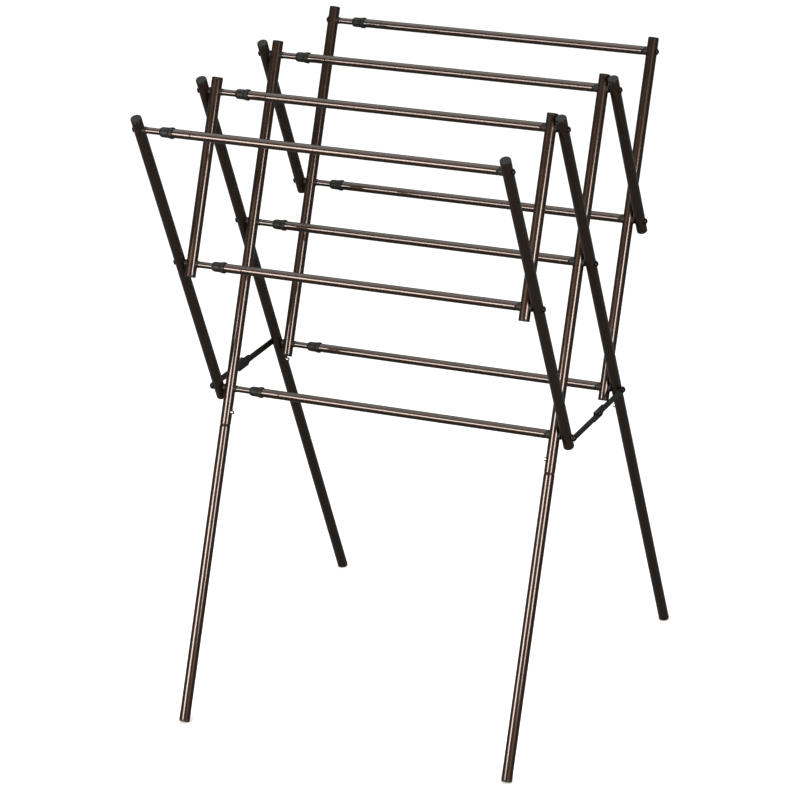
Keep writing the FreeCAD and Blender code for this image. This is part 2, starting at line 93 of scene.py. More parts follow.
def buildTurnedRow():
    # Turns an outline round its axis, as on a lathe, and sets copies of it in a straight row.
    # The outline comes in as loose points: X is the radius and Z the distance along the axis.
    # Seat Radius hollows the near end to sit on a tube, and Seat Band is how much of the end it takes.
    tree = bpy.data.node_groups.new("turnedRow", "GeometryNodeTree")
    for name, kind in rowInputs.items():
        tree.interface.new_socket(name, in_out="INPUT", socket_type="NodeSocket" + kind)
    tree.interface.new_socket("Geometry", in_out="OUTPUT", socket_type="NodeSocketGeometry")
    given = tree.nodes.new("NodeGroupInput").outputs
    sums = "ShaderNodeMath"

    rings = addNode(tree, "GeometryNodeAttributeDomainSize", {0: given["Outline"]})
    spokes = addNode(tree, sums, {0: given["Segments"], 1: 1.0}, operation="ADD")
    sheet = addNode(tree, "GeometryNodeMeshGrid", {"Vertices X": rings, "Vertices Y": spokes})
    index = addNode(tree, "GeometryNodeInputIndex")
    ringsPassed = addNode(tree, sums, {0: index, 1: spokes}, operation="DIVIDE")
    ring = addNode(tree, sums, {0: ringsPassed}, operation="FLOOR")
    spoke = addNode(tree, sums, {0: index, 1: spokes}, operation="MODULO")
    share = addNode(tree, sums, {0: spoke, 1: given["Segments"]}, operation="DIVIDE")
    turn = addNode(tree, sums, {0: share, 1: math.tau}, operation="MULTIPLY")
    place = addNode(tree, "GeometryNodeInputPosition")
    onOutline = addNode(tree, "GeometryNodeSampleIndex",
                        {"Geometry": given["Outline"], "Value": place, "Index": ring},
                        data_type="FLOAT_VECTOR", domain="POINT")
    parts = tree.nodes.new("ShaderNodeSeparateXYZ")
    tree.links.new(onOutline, parts.inputs[0])
    radius, height = parts.outputs["X"], parts.outputs["Z"]
    cosine = addNode(tree, sums, {0: turn}, operation="COSINE")
    sine = addNode(tree, sums, {0: turn}, operation="SINE")
    side = addNode(tree, sums, {0: radius, 1: cosine}, operation="MULTIPLY")
    across = addNode(tree, sums, {0: radius, 1: sine}, operation="MULTIPLY")

    seatSquared = addNode(tree, sums, {0: given["Seat Radius"], 1: given["Seat Radius"]},
                          operation="MULTIPLY")
    acrossSquared = addNode(tree, sums, {0: across, 1: across}, operation="MULTIPLY")
    left = addNode(tree, sums, {0: seatSquared, 1: acrossSquared}, operation="SUBTRACT")
    chord = addNode(tree, sums, {0: left, 1: 0.0}, operation="MAXIMUM")
    halfChord = addNode(tree, sums, {0: chord}, operation="SQRT")
    drop = addNode(tree, sums, {0: given["Seat Radius"], 1: halfChord}, operation="SUBTRACT")
    nearEnd = addNode(tree, sums, {0: height, 1: given["Seat Band"]}, operation="LESS_THAN")
    seated = addNode(tree, sums, {0: drop, 1: nearEnd}, operation="MULTIPLY")
    along = addNode(tree, sums, {0: height, 1: seated}, operation="SUBTRACT")
    target = addNode(tree, "ShaderNodeCombineXYZ", {"X": side, "Y": across, "Z": along})
    turned = addNode(tree, "GeometryNodeSetPosition", {"Geometry": sheet, "Position": target})
    closed = addNode(tree, "GeometryNodeMergeByDistance", {"Geometry": turned, "Distance": weld})

    smooth = addNode(tree, "GeometryNodeSetShadeSmooth", {"Geometry": closed, "Shade Smooth": True},
                     domain="FACE")
    bend = addNode(tree, "GeometryNodeInputMeshEdgeAngle")
    sharp = addNode(tree, "FunctionNodeCompare", {0: bend, 1: given["Sharp Angle"]},
                    data_type="FLOAT", operation="GREATER_THAN")
    shaded = addNode(tree, "GeometryNodeSetShadeSmooth",
                     {"Geometry": smooth, "Selection": sharp, "Shade Smooth": False}, domain="EDGE")

    row = addNode(tree, "GeometryNodeMeshLine",
                  {"Count": given["Count"], "Start Location": given["Start"], "Offset": given["Step"]},
                  mode="OFFSET")
    aimed = addNode(tree, "FunctionNodeAlignRotationToVector", {"Vector": given["Axis"]}, axis="Z")
    squared = addNode(tree, "FunctionNodeAlignRotationToVector",
                      {"Rotation": aimed, "Vector": given["Upright"]}, axis="X", pivot_axis="Z")
    copies = addNode(tree, "GeometryNodeInstanceOnPoints",
                     {"Points": row, "Instance": shaded, "Rotation": squared})
    solid = addNode(tree, "GeometryNodeRealizeInstances", {"Geometry": copies})
    painted = addNode(tree, "GeometryNodeSetMaterial", {"Geometry": solid, "Material": given["Finish"]})
    end = tree.nodes.new("NodeGroupOutput")
    tree.links.new(painted, end.inputs["Geometry"])
    return tree


rowTree = buildTurnedRow()
rowSockets = {item.name: item.identifier for item in rowTree.interface.items_tree if item.in_out == "INPUT"}


def linear(code):
    # sRGB hex to the linear values that a shader takes
    channels = [int(code[place:place + 2], 16) / 255 for place in (1, 3, 5)]
    toned = [c / 12.92 if c <= 0.04045 else ((c + 0.055) / 1.055) ** 2.4 for c in channels]
    return (*toned, 1.0)


noiseBand = (0.3, 0.7)   # the part of a noise that is opened out to the full range


def finish(name, look):
    # Colour and gloss drift over the surface, and a fine skin bumps it. Every pattern is given as
    # (millimetres between its grains, detail), and the skin has its depth in millimetres as well.
    material = bpy.data.materials.new(name)
    material.use_nodes = True
    tree = material.node_tree
    shader = tree.nodes["Principled BSDF"]
    for socket, value in look["fixed"].items():
        shader.inputs[socket].default_value = value
    place = tree.nodes.new("ShaderNodeTexCoord").outputs["Object"]
    drawn = place
    if "stretch" in look:
        drawn = addNode(tree, "ShaderNodeMapping", {"Vector": place, "Scale": look["stretch"]})

    size, detail = look["mottle"]
    mottle = addNode(tree, "ShaderNodeTexNoise",
                     {"Vector": drawn, "Scale": 1 / (size * mm), "Detail": detail})
    ramp = tree.nodes.new("ShaderNodeValToRGB")
    tree.links.new(mottle, ramp.inputs["Fac"])
    for element, position, code in zip(ramp.color_ramp.elements, noiseBand, look["colours"]):
        element.position = position
        element.color = linear(code)
    tree.links.new(ramp.outputs["Color"], shader.inputs["Base Color"])

    size, detail = look["cloud"]
    cloud = addNode(tree, "ShaderNodeTexNoise",
                    {"Vector": place, "Scale": 1 / (size * mm), "Detail": detail})
    gloss = addNode(tree, "ShaderNodeMapRange",
                    {"Value": cloud, "From Min": noiseBand[0], "From Max": noiseBand[1],
                     "To Min": look["roughness"][0], "To Max": look["roughness"][1]})
    tree.links.new(gloss, shader.inputs["Roughness"])

    if "skin" in look:
        size, detail, depth = look["skin"]
        skin = addNode(tree, "ShaderNodeTexNoise",
                       {"Vector": drawn, "Scale": 1 / (size * mm), "Detail": detail})
        normal = addNode(tree, "ShaderNodeBump",
                         {"Height": skin, "Distance": depth * mm, "Strength": 1.0})
        tree.links.new(normal, shader.inputs["Normal"])
    return material


# Baked enamel with bronze flake on steel tube, sprayed: deep brown, hard and glossy, so a softbox shows
# in it as a sharp pale streak with a warm brown glow beside it. The flake is drawn coarser than real.
bakedBronzeLook = {
    "fixed": {"Metallic": 0.8, "Coat Weight": 1.0, "Coat Roughness": 0.04, "Coat IOR": 1.4},
    "colours": ("#1e130a", "#352213"),
    "mottle": (0.5, 2.0),
    "cloud": (60.0, 2.0),
    "roughness": (0.32, 0.40),
    "skin": (4.0, 1.0, 0.0015),   # orange peel of the baked film
}
enamel = finish("bakedBronzeEnamel", bakedBronzeLook)

# Injection moulded black nylon with a spark-eroded skin: charcoal, satin, a soft wide highlight.
mouldedNylonLook = {
    "fixed": {"IOR": 1.45, "Specular IOR Level": 0.22},
    "colours": ("#0e0f0e", "#151615"),
    "mottle": (14.0, 3.0),
    "cloud": (6.0, 2.0),
    "roughness": (0.42, 0.54),
    "skin": (0.7, 2.0, 0.02),
}
nylon = finish("mouldedNylon", mouldedNylonLook)

# Moulded black rubber of the feet: black-brown, with a slight bloom, matt.
mouldedRubberLook = {
    "fixed": {"IOR": 1.52},
    "colours": ("#12100d", "#1b1814"),
    "mottle": (9.0, 4.0),
    "cloud": (5.0, 2.0),
    "roughness": (0.55, 0.72),
    "skin": (0.9, 2.0, 0.03),
}
rubber = finish("mouldedRubber", mouldedRubberLook)

# Headed steel rivet, black oxided and oiled: near black with a small hard glint.
blackenedSteelLook = {
    "fixed": {"Metallic": 0.85},
    "colours": ("#120f0c", "#201b16"),
    "mottle": (2.5, 3.0),
    "cloud": (1.5, 2.0),
    "roughness": (0.22, 0.36),
    "skin": (1.2, 2.0, 0.01),
}
blackSteel = finish("blackenedSteel", blackenedSteelLook)

# Pressed steel strip dipped in black-brown paint: satin, with faint runs of the dip along it.
paintedStripLook = {
    "fixed": {"Metallic": 0.2, "Specular IOR Level": 0.3, "Coat Weight": 0.12, "Coat Roughness": 0.25},
    "colours": ("#0b0806", "#15100b"),
    "stretch": (1.0, 0.15, 1.0),
    "mottle": (3.0, 4.0),
    "cloud": (8.0, 2.0),
    "roughness": (0.38, 0.5),
    "skin": (1.5, 2.0, 0.02),
}
stripPaint = finish("paintedStrip", paintedStripLook)

# Nickel plated spring steel, tumbled: warm silver, bright, with fine random scratches.
nickelPlateLook = {
    "fixed": {"Metallic": 1.0},
    "colours": ("#8f877a", "#b8b0a2"),
    "mottle": (1.0, 4.0),
    "cloud": (0.6, 2.0),
    "roughness": (0.16, 0.30),
    "skin": (0.5, 2.0, 0.004),
}
nickel = finish("nickelPlate", nickelPlateLook)
print("materials ready")


def outline(*corners, steps=4):
    # Corner points in millimetres (radius, height); a third number rounds that corner off.
    # A guard point beside each rounding keeps its shading out of the long straight stretch.
    guard, points = 0.25, []
    for number, corner in enumerate(corners):
        here = Vector(corner[:2])
        if len(corner) < 3:
            points.append(here)
            continue
        toBefore = Vector(corners[number - 1][:2]) - here
        toAfter = Vector(corners[(number + 1) % len(corners)][:2]) - here
        start = here + toBefore.normalized() * corner[2]
        end = here + toAfter.normalized() * corner[2]
        if toBefore.length > 2 * corner[2] + 4 * guard:
            points.append(start + toBefore.normalized() * guard)
        for step in range(steps + 1):
            t = step / steps
            points.append(start * (1 - t) ** 2 + here * 2 * t * (1 - t) + end * t ** 2)
        if toAfter.length > 2 * corner[2] + 4 * guard:
            points.append(end + toAfter.normalized() * guard)
    return points


seatBand = 0.6 * mm   # how much of a seated end follows the tube


def turnedRow(name, points, material, start, axis, upright, count=1, step=(0, 0, 0), segments=64,
              seatRadius=0.0):
    # Runs the turnedRow tree on an outline and returns the plain mesh object.
    mesh = bpy.data.meshes.new(name)
    mesh.from_pydata([(point.x * mm, 0, point.y * mm) for point in points], [], [])
    piece = bpy.data.objects.new(name, mesh)
    bpy.context.scene.collection.objects.link(piece)
    modifier = piece.modifiers.new("turnedRow", "NODES")
    modifier.node_group = rowTree
    given = {"Segments": segments, "Seat Radius": seatRadius, "Seat Band": seatBand, "Sharp Angle": crease,
             "Count": count, "Start": tuple(start), "Step": tuple(step), "Axis": tuple(axis),
             "Upright": tuple(upright), "Finish": material}
    for socket, value in given.items():
        modifier[rowSockets[socket]] = value
    made = piece.evaluated_get(bpy.context.evaluated_depsgraph_get())
    piece.data = bpy.data.meshes.new_from_object(made)
    piece.modifiers.clear()
    piece.data.name = name
    bpy.data.meshes.remove(mesh)
    return piece


def joined(name, pieces):
    # Several pieces of one kind on one body become one mesh.
    shape = bmesh.new()
    for piece in pieces:
        shape.from_mesh(piece.data)
    whole = pieces[0]
    shape.to_mesh(whole.data)
    shape.free()
    for piece in pieces[1:]:
        used = piece.data
        bpy.data.objects.remove(piece)
        bpy.data.meshes.remove(used)
    whole.name = whole.data.name = name
    return whole


def settle(piece, body, slot, *nodes):
    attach(piece, body)
    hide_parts(*nodes)
    return piece


# The lattice: two slopes, and the rows of pivots that all members share.
joints = {joint["name"]: joint for joint in frame["joints"]}


def pivotOf(joint):
    return Vector(joints[joint]["pos_m"])


frontLow, frontHigh = pivotOf("front_arm_right"), pivotOf("short_rear_bar_right")
rearLow, rearHigh = pivotOf("rear_bar_right"), pivotOf("short_front_bar_right")
toRear = (frontHigh - frontLow).normalized()
toFront = (rearHigh - rearLow).normalized()
pitch = (frontHigh - frontLow).length / 2

# top is a known pivot and how many pitches the member's top pivot stands above it.
# crossed says which of its rod pivots also hold a tube of the outer layer.
members = {
    "short_front_bar": {"up": toRear, "top": (rearHigh, 0), "crossed": (True, True)},
    "front_leg": {"up": toRear, "top": (frontHigh, 0), "crossed": (True, True, True)},
    "rear_bar": {"up": toRear, "top": (rearLow, 2), "crossed": (False, True, True)},
    "front_arm": {"up": toFront, "top": (frontLow, 2), "crossed": (False,)},
    "rear_leg": {"up": toFront, "top": (rearHigh, 0), "crossed": ()},
    "short_rear_bar": {"up": toFront, "top": (frontHigh, 0), "crossed": ()},
}
sides = {"right": 1, "left": -1}
stays = {"front_leg": "stay_front_link", "rear_bar": "stay_rear_link"}


def tubeNode(name, side):
    return name + ("_upper_tube_" if name.endswith("leg") else "_tube_") + side


def centreX(name, side):
    low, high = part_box(tubeNode(name, side))
    return (low.x + high.x) / 2


def topPivot(name, side):
    base, pitches = members[name]["top"]
    place = base + members[name]["up"] * pitch * pitches
    place.x = centreX(name, side)
    return place


def reach(node, start, along):
    # lowest and highest point of a CAD node along a line from start, in millimetres
    steps = [(vertex.co - start).dot(along) / mm for vertex in frame["nodes"][node].data.vertices]
    return min(steps), max(steps)


def pieceName(*words):
    parts = "_".join(words).split("_")
    return parts[0] + "".join(part.capitalize() for part in parts[1:])


uprightLook = {
    "wall": 0.8,         # mm
    "rim": 0.35,         # rounding of a cut end
    "seamRim": 0.7,      # the upper leg tube is rolled in at the seam
    "neckGap": 0.15,     # lower leg tube's neck inside the upper tube
    "shoulder": 4.0,     # taper from the neck to the full tube
    "segments": 72,
}
low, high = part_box(tubeNode("front_arm", "right"))
tubeRadius = (high.x - low.x) / 2 / mm


def tubeSlot(name):
    return "inner_tube" if members[name]["crossed"] and name != "front_arm" else "outer_tube"


def uprightTube(name, side):
    # The tube of a bar or arm, or the upper tube of a leg with its lower one.
    look, node = uprightLook, tubeNode(name, side)
    start, up = topPivot(name, side), members[name]["up"]
    bottom, top = reach(node, start, up)
    bore = tubeRadius - look["wall"]
    lowRim = look["seamRim"] if name.endswith("leg") else look["rim"]
    points = outline((bore, top), (tubeRadius, top, look["rim"]), (tubeRadius, bottom, lowRim),
                     (bore, bottom), (bore, top))
    tube = turnedRow(pieceName(name, side, "tube"), points, enamel, start, up, (1, 0, 0),
                     segments=look["segments"])
    settle(tube, name + "_" + side, tubeSlot(name), node)
    if name.endswith("leg"):
        lowerTube(name, side, bottom)


def lowerTube(name, side, seam):
    # Its neck goes up inside the upper tube.
    look, node = uprightLook, name + "_lower_tube_" + side
    start, up = topPivot(name, side), members[name]["up"]
    end, neckTop = reach(node, start, up)
    bore = tubeRadius - look["wall"]
    neck = bore - look["neckGap"]
    neckBore = neck - look["wall"]
    shoulder = seam - look["shoulder"]
    points = outline((neckBore, neckTop), (neck, neckTop, look["rim"]), (neck, seam),
                     (tubeRadius, shoulder, look["seamRim"]), (tubeRadius, end, look["rim"]), (bore, end),
                     (bore, shoulder), (neckBore, seam), (neckBore, neckTop))
    tube = turnedRow(pieceName(name, side, "lower", "tube"), points, enamel, start, up, (1, 0, 0),
                     segments=look["segments"])
    settle(tube, name + "_" + side, tubeSlot(name), node)


capLook = {
    "spigot": 12.0,      # mm, plug inside the tube
    "fit": 0.05,         # play of the plug
    "crown": 1.5,        # rounding of the visible rim
    "lip": 0.25,         # rounding where the cap meets its tube
    "plugTip": 0.8,
    "segments": 64,
}


def capOutline(thick):
    look = capLook
    plug = tubeRadius - uprightLook["wall"] - look["fit"]
    return outline((0, thick), (tubeRadius, thick, look["crown"]), (tubeRadius, 0, look["lip"]), (plug, 0),
                   (plug, -look["spigot"], look["plugTip"]), (0, -look["spigot"]))


def endCaps(name, side):
    start, up = topPivot(name, side), members[name]["up"]
    bottom, top = reach(tubeNode(name, side), start, up)
    leg = name.endswith("leg")
    node = name + ("_top_cap_" if leg else "_end_caps_") + side
    points = capOutline(reach(node, start, up)[1] - top)
    ends = [("top", start + up * top * mm, up)]
    if not leg:
        ends.append(("bottom", start + up * bottom * mm, -up))
    for end, place, axis in ends:
        cap = turnedRow(pieceName(name, side, end, "cap"), points, nylon, place, axis, (1, 0, 0),
                        segments=capLook["segments"])
        settle(cap, name + "_" + side, "plastic", node)


floorPlay = 1e-7   # metres


def standOnFloor(piece):
    # Trims what reaches below the floor and closes the cut with a flat face.
    shape = bmesh.new()
    shape.from_mesh(piece.data)
    everything = shape.verts[:] + shape.edges[:] + shape.faces[:]
    made = bmesh.ops.bisect_plane(shape, geom=everything, dist=floorPlay, plane_co=(0, 0, 0),
                                  plane_no=(0, 0, -1), clear_outer=True)
    rim = [item for item in made["geom_cut"] if isinstance(item, bmesh.types.BMEdge)]
    bmesh.ops.edgeloop_fill(shape, edges=rim)
    bmesh.ops.recalc_face_normals(shape, faces=shape.faces)
    shape.to_mesh(piece.data)
    shape.free()
    piece.data.set_sharp_from_angle(angle=crease)


def legFoot(name, side):
    # The same cap as on top, with a flat where its low edge stands on the floor.
    start, up = topPivot(name, side), members[name]["up"]
    tubeEnd = reach(name + "_lower_tube_" + side, start, up)[0]
    capTop = reach(name + "_top_cap_" + side, start, up)[1]
    thick = capTop - reach(tubeNode(name, side), start, up)[1]
    foot = turnedRow(pieceName(name, side, "foot"), capOutline(thick), rubber,
                     start + up * tubeEnd * mm, -up, (1, 0, 0), segments=capLook["segments"])
    standOnFloor(foot)
    settle(foot, name + "_" + side, "foot", name + "_foot_" + side)


rivetLook = {
    "head": 9.6,         # mm across the domed head
    "dome": 3.0,
    "washer": 11.4,
    "washerThickness": 0.8,
    "washerRim": 0.3,    # roundings
    "washerBase": 0.15,
    "shankTip": 0.5,
    "shank": 6.0,
    "sideGap": 0.3,      # play between pieces that turn on each other
    "segments": 40,
    "domeSteps": 7,
}


def rivetOutline(shank):
    # Domed head, flat washer and the shank below, which runs through the tubes into the rod.
    look = rivetLook
    half, rise, base = look["head"] / 2, look["dome"], look["washerThickness"]
    ball = (half ** 2 + rise ** 2) / (2 * rise)
    widest = math.asin(half / ball)
    dome = []
    for step in range(look["domeSteps"] + 1):
        angle = widest * step / look["domeSteps"]
        dome.append((ball * math.sin(angle), base + rise - ball * (1 - math.cos(angle))))
    washer, pin = look["washer"] / 2, look["shank"] / 2
    return outline(*dome, (washer, base, look["washerRim"]), (washer, 0, look["washerBase"]),
                   (pin, 0), (pin, -shank, look["shankTip"]), (0, -shank))


saddleLook = {
    "length": 4.5,       # mm between an upright and its rod
    "spigot": 16.0,      # plug inside the rod
    "slimFlange": 0.6,   # how far it stands out round a slim rod
    "spigotTip": 0.6,
    "round": 0.8,
    "seatRings": 3,      # rings between bore and rim, so that the seat follows the tube
    "segments": 56,
}
spacerLook = {
    "diameter": 13.0,    # mm
    "stayWasher": 12.0,  # packs the pivot where only the stay's front link is held
    "stayWasherThickness": 2.2,
    "stayWasherRound": 0.3,
    "round": 0.5,
    "segments": 48,
}
rodLook = {
    "wall": 0.8,         # mm
    "slimWall": 0.7,
    "rim": 0.3,
    "taper": 3.0,        # outer tube rolled in at its fixed end
    "taperDepth": 0.5,
    "taperRound": 0.8,
    "grooveFromEnd": 41.0,   # rolled groove, from the collar end of the outer tube
    "grooveHalf": 1.1,
    "grooveDepth": 0.5,
    "grooveSteps": 8,
    "grooveGuard": 0.3,  # straight ring beside the groove
    "segments": 56,
}
collarLook = {
    "play": 0.25,        # mm round the slim rod
    "fit": 0.05,         # on the outer rod
    "skirt": 8.0,        # sleeves over the outer rod
    "noseTip": 7.2,      # radii along the collar, from the nose to the lip
    "shoulder": 8.6,
    "waist": 8.75,
    "noseLength": 3.0,
    "waistAt": 8.6,      # height where the waist turns out to the lip
    "lipAt": 5.6,
    "tipRound": 0.6,     # roundings along the collar
    "bodyRound": 1.6,
    "lipRound": 1.4,
    "mouthRound": 1.3,
    "sleeveRound": 0.3,
    "segments": 64,
}

low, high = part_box("front_arm_outer_rods_right")
rodRadius = (high.z - low.z) / 2 / mm
low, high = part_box("front_arm_slim_rods_left")
slimRadius = (high.z - low.z) / 2 / mm
planeStep = abs(centreX("front_arm", "right") - centreX("front_leg", "right")) / mm


def seatRings(radius, far):
    # the near end of a hollow seat, and its bore
    bore, count = rivetLook["shank"] / 2, saddleLook["seatRings"]
    return [(bore + (radius - bore) * ring / count, 0) for ring in reversed(range(count))] + [(bore, far)]


def pivotRivets(name, side):
    # Rivets of one member, from outside through its tubes into the saddles of its rods.
    turn, start, up = sides[side], topPivot(name, side), members[name]["up"]
    outward, rivets = Vector((turn, 0, 0)), []
    for number, isCrossed in enumerate(members[name]["crossed"]):
        face = tubeRadius + capLook["fit"]
        if isCrossed:
            face = planeStep + tubeRadius + rivetLook["sideGap"]
        if number == stayLook["pivot"]:
            low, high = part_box(stays[name] + "_" + side)
            link = low.x if turn > 0 else -high.x
            face = (link - abs(start.x)) / mm + stayLook["thickness"] + rivetLook["sideGap"]
        points = rivetOutline(face + tubeRadius + saddleLook["spigot"] / 2)
        place = start - up * pitch * number + outward * face * mm
        rivets.append(turnedRow("rivet", points, blackSteel, place, outward, up,
                                segments=rivetLook["segments"]))
    settle(joined(pieceName(name, side, "rivets"), rivets), name + "_" + side, "rivet",
           name + "_pivots_" + side)


def pivotSpacers(name, side):
    # Spacers between the crossing tubes of one member, and the washer under the stay's front link.
    look, start, up = spacerLook, topPivot(name, side), members[name]["up"]
    outward, bore, spacers = Vector((sides[side], 0, 0)), rivetLook["shank"] / 2, []
    width, long = look["diameter"] / 2, planeStep - 2 * tubeRadius - rivetLook["sideGap"]
    points = outline((bore, long), (width, long, look["round"]), (width, 0), *seatRings(width, long))
    for number, isCrossed in enumerate(members[name]["crossed"]):
        if isCrossed:
            place = start - up * pitch * number + outward * tubeRadius * mm
            spacers.append(turnedRow("spacer", points, nylon, place, outward, up,
                                     seatRadius=tubeRadius * mm, segments=look["segments"]))
    if name == "front_leg":
        width, thick, rim = look["stayWasher"] / 2, look["stayWasherThickness"], look["stayWasherRound"]
        points = outline((bore, thick), (width, thick, rim), (width, 0, rim), (bore, 0), (bore, thick))
        face = planeStep + tubeRadius + rivetLook["sideGap"]
        place = start - up * pitch * stayLook["pivot"] + outward * face * mm
        spacers.append(turnedRow("spacer", points, nylon, place, outward, up, segments=look["segments"]))
    if spacers:
        settle(joined(pieceName(name, side, "spacers"), spacers), name + "_" + side, "plastic",
               name + "_pivots_" + side)


def pivotSaddles(name, side):
    # Plugs that close the rods and seat them on the inner tube.
    look, start, up = saddleLook, topPivot(name, side), members[name]["up"]
    outward = Vector((sides[side], 0, 0))
    rim, plug = rodRadius, rodRadius - rodLook["wall"]
    if side == "left":
        rim, plug = slimRadius + look["slimFlange"], slimRadius - rodLook["slimWall"]
    plug -= capLook["fit"]
    long, far = look["length"], look["length"] + look["spigot"]
    points = outline((rivetLook["shank"] / 2, far), (plug, far, look["spigotTip"]), (plug, long),
                     (rim, long, look["round"]), (rim, 0), *seatRings(rim, far))
    saddles = turnedRow(pieceName(name, side, "saddles"), points, nylon,
                        start - outward * tubeRadius * mm, -outward, up,
                        count=len(members[name]["crossed"]), step=-up * pitch,
                        seatRadius=tubeRadius * mm, segments=look["segments"])
    settle(saddles, name + "_" + side, "plastic", name + "_pivots_" + side)


def rodRow(name, side, kind, points, material, segments):
    # One piece for each rod of a member, turned round the rods' axes.
    node = "_".join((name, kind, side))
    low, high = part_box(node)
    start, up = topPivot(name, side), members[name]["up"]
    base, axis = (low.x, (1, 0, 0)) if side == "left" else (high.x, (-1, 0, 0))
    row = turnedRow(pieceName(name, kind), points, material, Vector((base, start.y, start.z)), axis, up,
                    count=len(members[name]["crossed"]), step=-up * pitch, segments=segments)
    settle(row, name + "_" + side, "collar" if kind == "collars" else "rod", node)


def lengthOf(node):
    low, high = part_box(node)
    return (high.x - low.x) / mm


def slimRods(name):
    look, long = rodLook, lengthOf(name + "_slim_rods_left")
    bore = slimRadius - look["slimWall"]
    points = outline((bore, long), (slimRadius, long, look["rim"]), (slimRadius, 0, look["rim"]),
                     (bore, 0), (bore, long))
    rodRow(name, "left", "slim_rods", points, enamel, look["segments"])


def outerRods(name):
    # Outer tubes, with the rolled groove near the collar and the rolled-in fixed end.
    look, long = rodLook, lengthOf(name + "_outer_rods_right")
    bore, steps = rodRadius - look["wall"], look["grooveSteps"]
    middle, guard = long - look["grooveFromEnd"], look["grooveHalf"] + look["grooveGuard"]
    groove = [(rodRadius, middle + guard)]
    for number in range(steps + 1):
        across = 1 - 2 * number / steps
        dip = look["grooveDepth"] * (1 + math.cos(math.pi * across)) / 2
        groove.append((rodRadius - dip, middle + across * look["grooveHalf"]))
    groove.append((rodRadius, middle - guard))
    points = outline((bore, long), (rodRadius, long, look["rim"]), *groove,
                     (rodRadius, look["taper"], look["taperRound"]),
                     (rodRadius - look["taperDepth"], 0, look["rim"]), (bore, 0), (bore, long))
    rodRow(name, "right", "outer_rods", points, enamel, look["segments"])


def rodCollars(name):
    # Friction collars: a nose on the slim rod, a waist, and a lip and sleeve over the outer tube.
    look, long = collarLook, lengthOf(name + "_collars_right")
    low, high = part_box("front_arm_collars_right")
    lip = (high.z - low.z) / 2 / mm
    inside, sleeve = slimRadius + look["play"], rodRadius + look["fit"]
    points = outline((inside, long), (look["noseTip"], long, look["tipRound"]),
                     (look["shoulder"], long - look["noseLength"], look["bodyRound"]),
                     (look["waist"], look["waistAt"], look["bodyRound"]),
                     (lip, look["lipAt"], look["lipRound"]), (lip, 0, look["mouthRound"]),
                     (sleeve, 0, look["sleeveRound"]), (sleeve, look["skirt"]), (inside, look["skirt"]),
                     (inside, long))
    rodRow(name, "right", "collars", points, nylon, look["segments"])


stayLook = {
    "width": 12.0,       # mm
    "thickness": 2.0,
    "edge": 0.35,        # rounding of the pressed edges
    "plateLength": 40.0,
    "plateDrop": 10.0,
    "plateRise": 9.0,
    "plateStep": 1.5,    # below the strip
    "plateCorner": 3.0,
    "flangeReach": 5.0,  # past the plate
    "flangeTail": 4.0,
    "endSteps": 14,
    "cornerSteps": 6,
    "bevelFrom": 35.0,   # degrees
    "pivot": 2,          # which pivot of its leg or bar holds it, from the top
}


def arc(centre, radius, first, last, steps):
    angles = [first + (last - first) * step / steps for step in range(steps + 1)]
    return [(centre[0] + radius * math.cos(a), centre[1] + radius * math.sin(a)) for a in angles]


def plate(name, points, thick):
    # A flat plate of that outline, in the Y-Z plane, from X 0 to thick.
    shape = bmesh.new()
    corners = [shape.verts.new((0, y * mm, z * mm)) for y, z in points]
    face = shape.faces.new(corners)
    made = bmesh.ops.extrude_face_region(shape, geom=[face])
    moved = [item for item in made["geom"] if isinstance(item, bmesh.types.BMVert)]
    bmesh.ops.translate(shape, verts=moved, vec=(thick * mm, 0, 0))
    bmesh.ops.recalc_face_normals(shape, faces=shape.faces)
    mesh = bpy.data.meshes.new(name)
    shape.to_mesh(mesh)
    shape.free()
    piece = bpy.data.objects.new(name, mesh)
    bpy.context.scene.collection.objects.link(piece)
    return piece


def applyModifiers(piece):
    made = piece.evaluated_get(bpy.context.evaluated_depsgraph_get())
    old = piece.data
    piece.data = bpy.data.meshes.new_from_object(made)
    piece.data.name = piece.name
    piece.modifiers.clear()
    bpy.data.meshes.remove(old)


def placed(piece, place, mirrored):
    # Moves the mesh, not the object, and turns a mirrored shape's faces the right way again.
    flip = Matrix.Diagonal((-1 if mirrored else 1, 1, 1, 1))
    piece.data.transform(Matrix.Translation(place) @ flip)
    if mirrored:
        piece.data.flip_normals()


def frontLinkPlate(side, span):
    look, half, quarter = stayLook, stayLook["width"] / 2, math.pi / 2
    points = arc((span, 0), half, -quarter, quarter, look["endSteps"])
    points += arc((0, 0), half, quarter, 3 * quarter, look["endSteps"])
    return plate(pieceName("stay_front_link", side), points, look["thickness"])


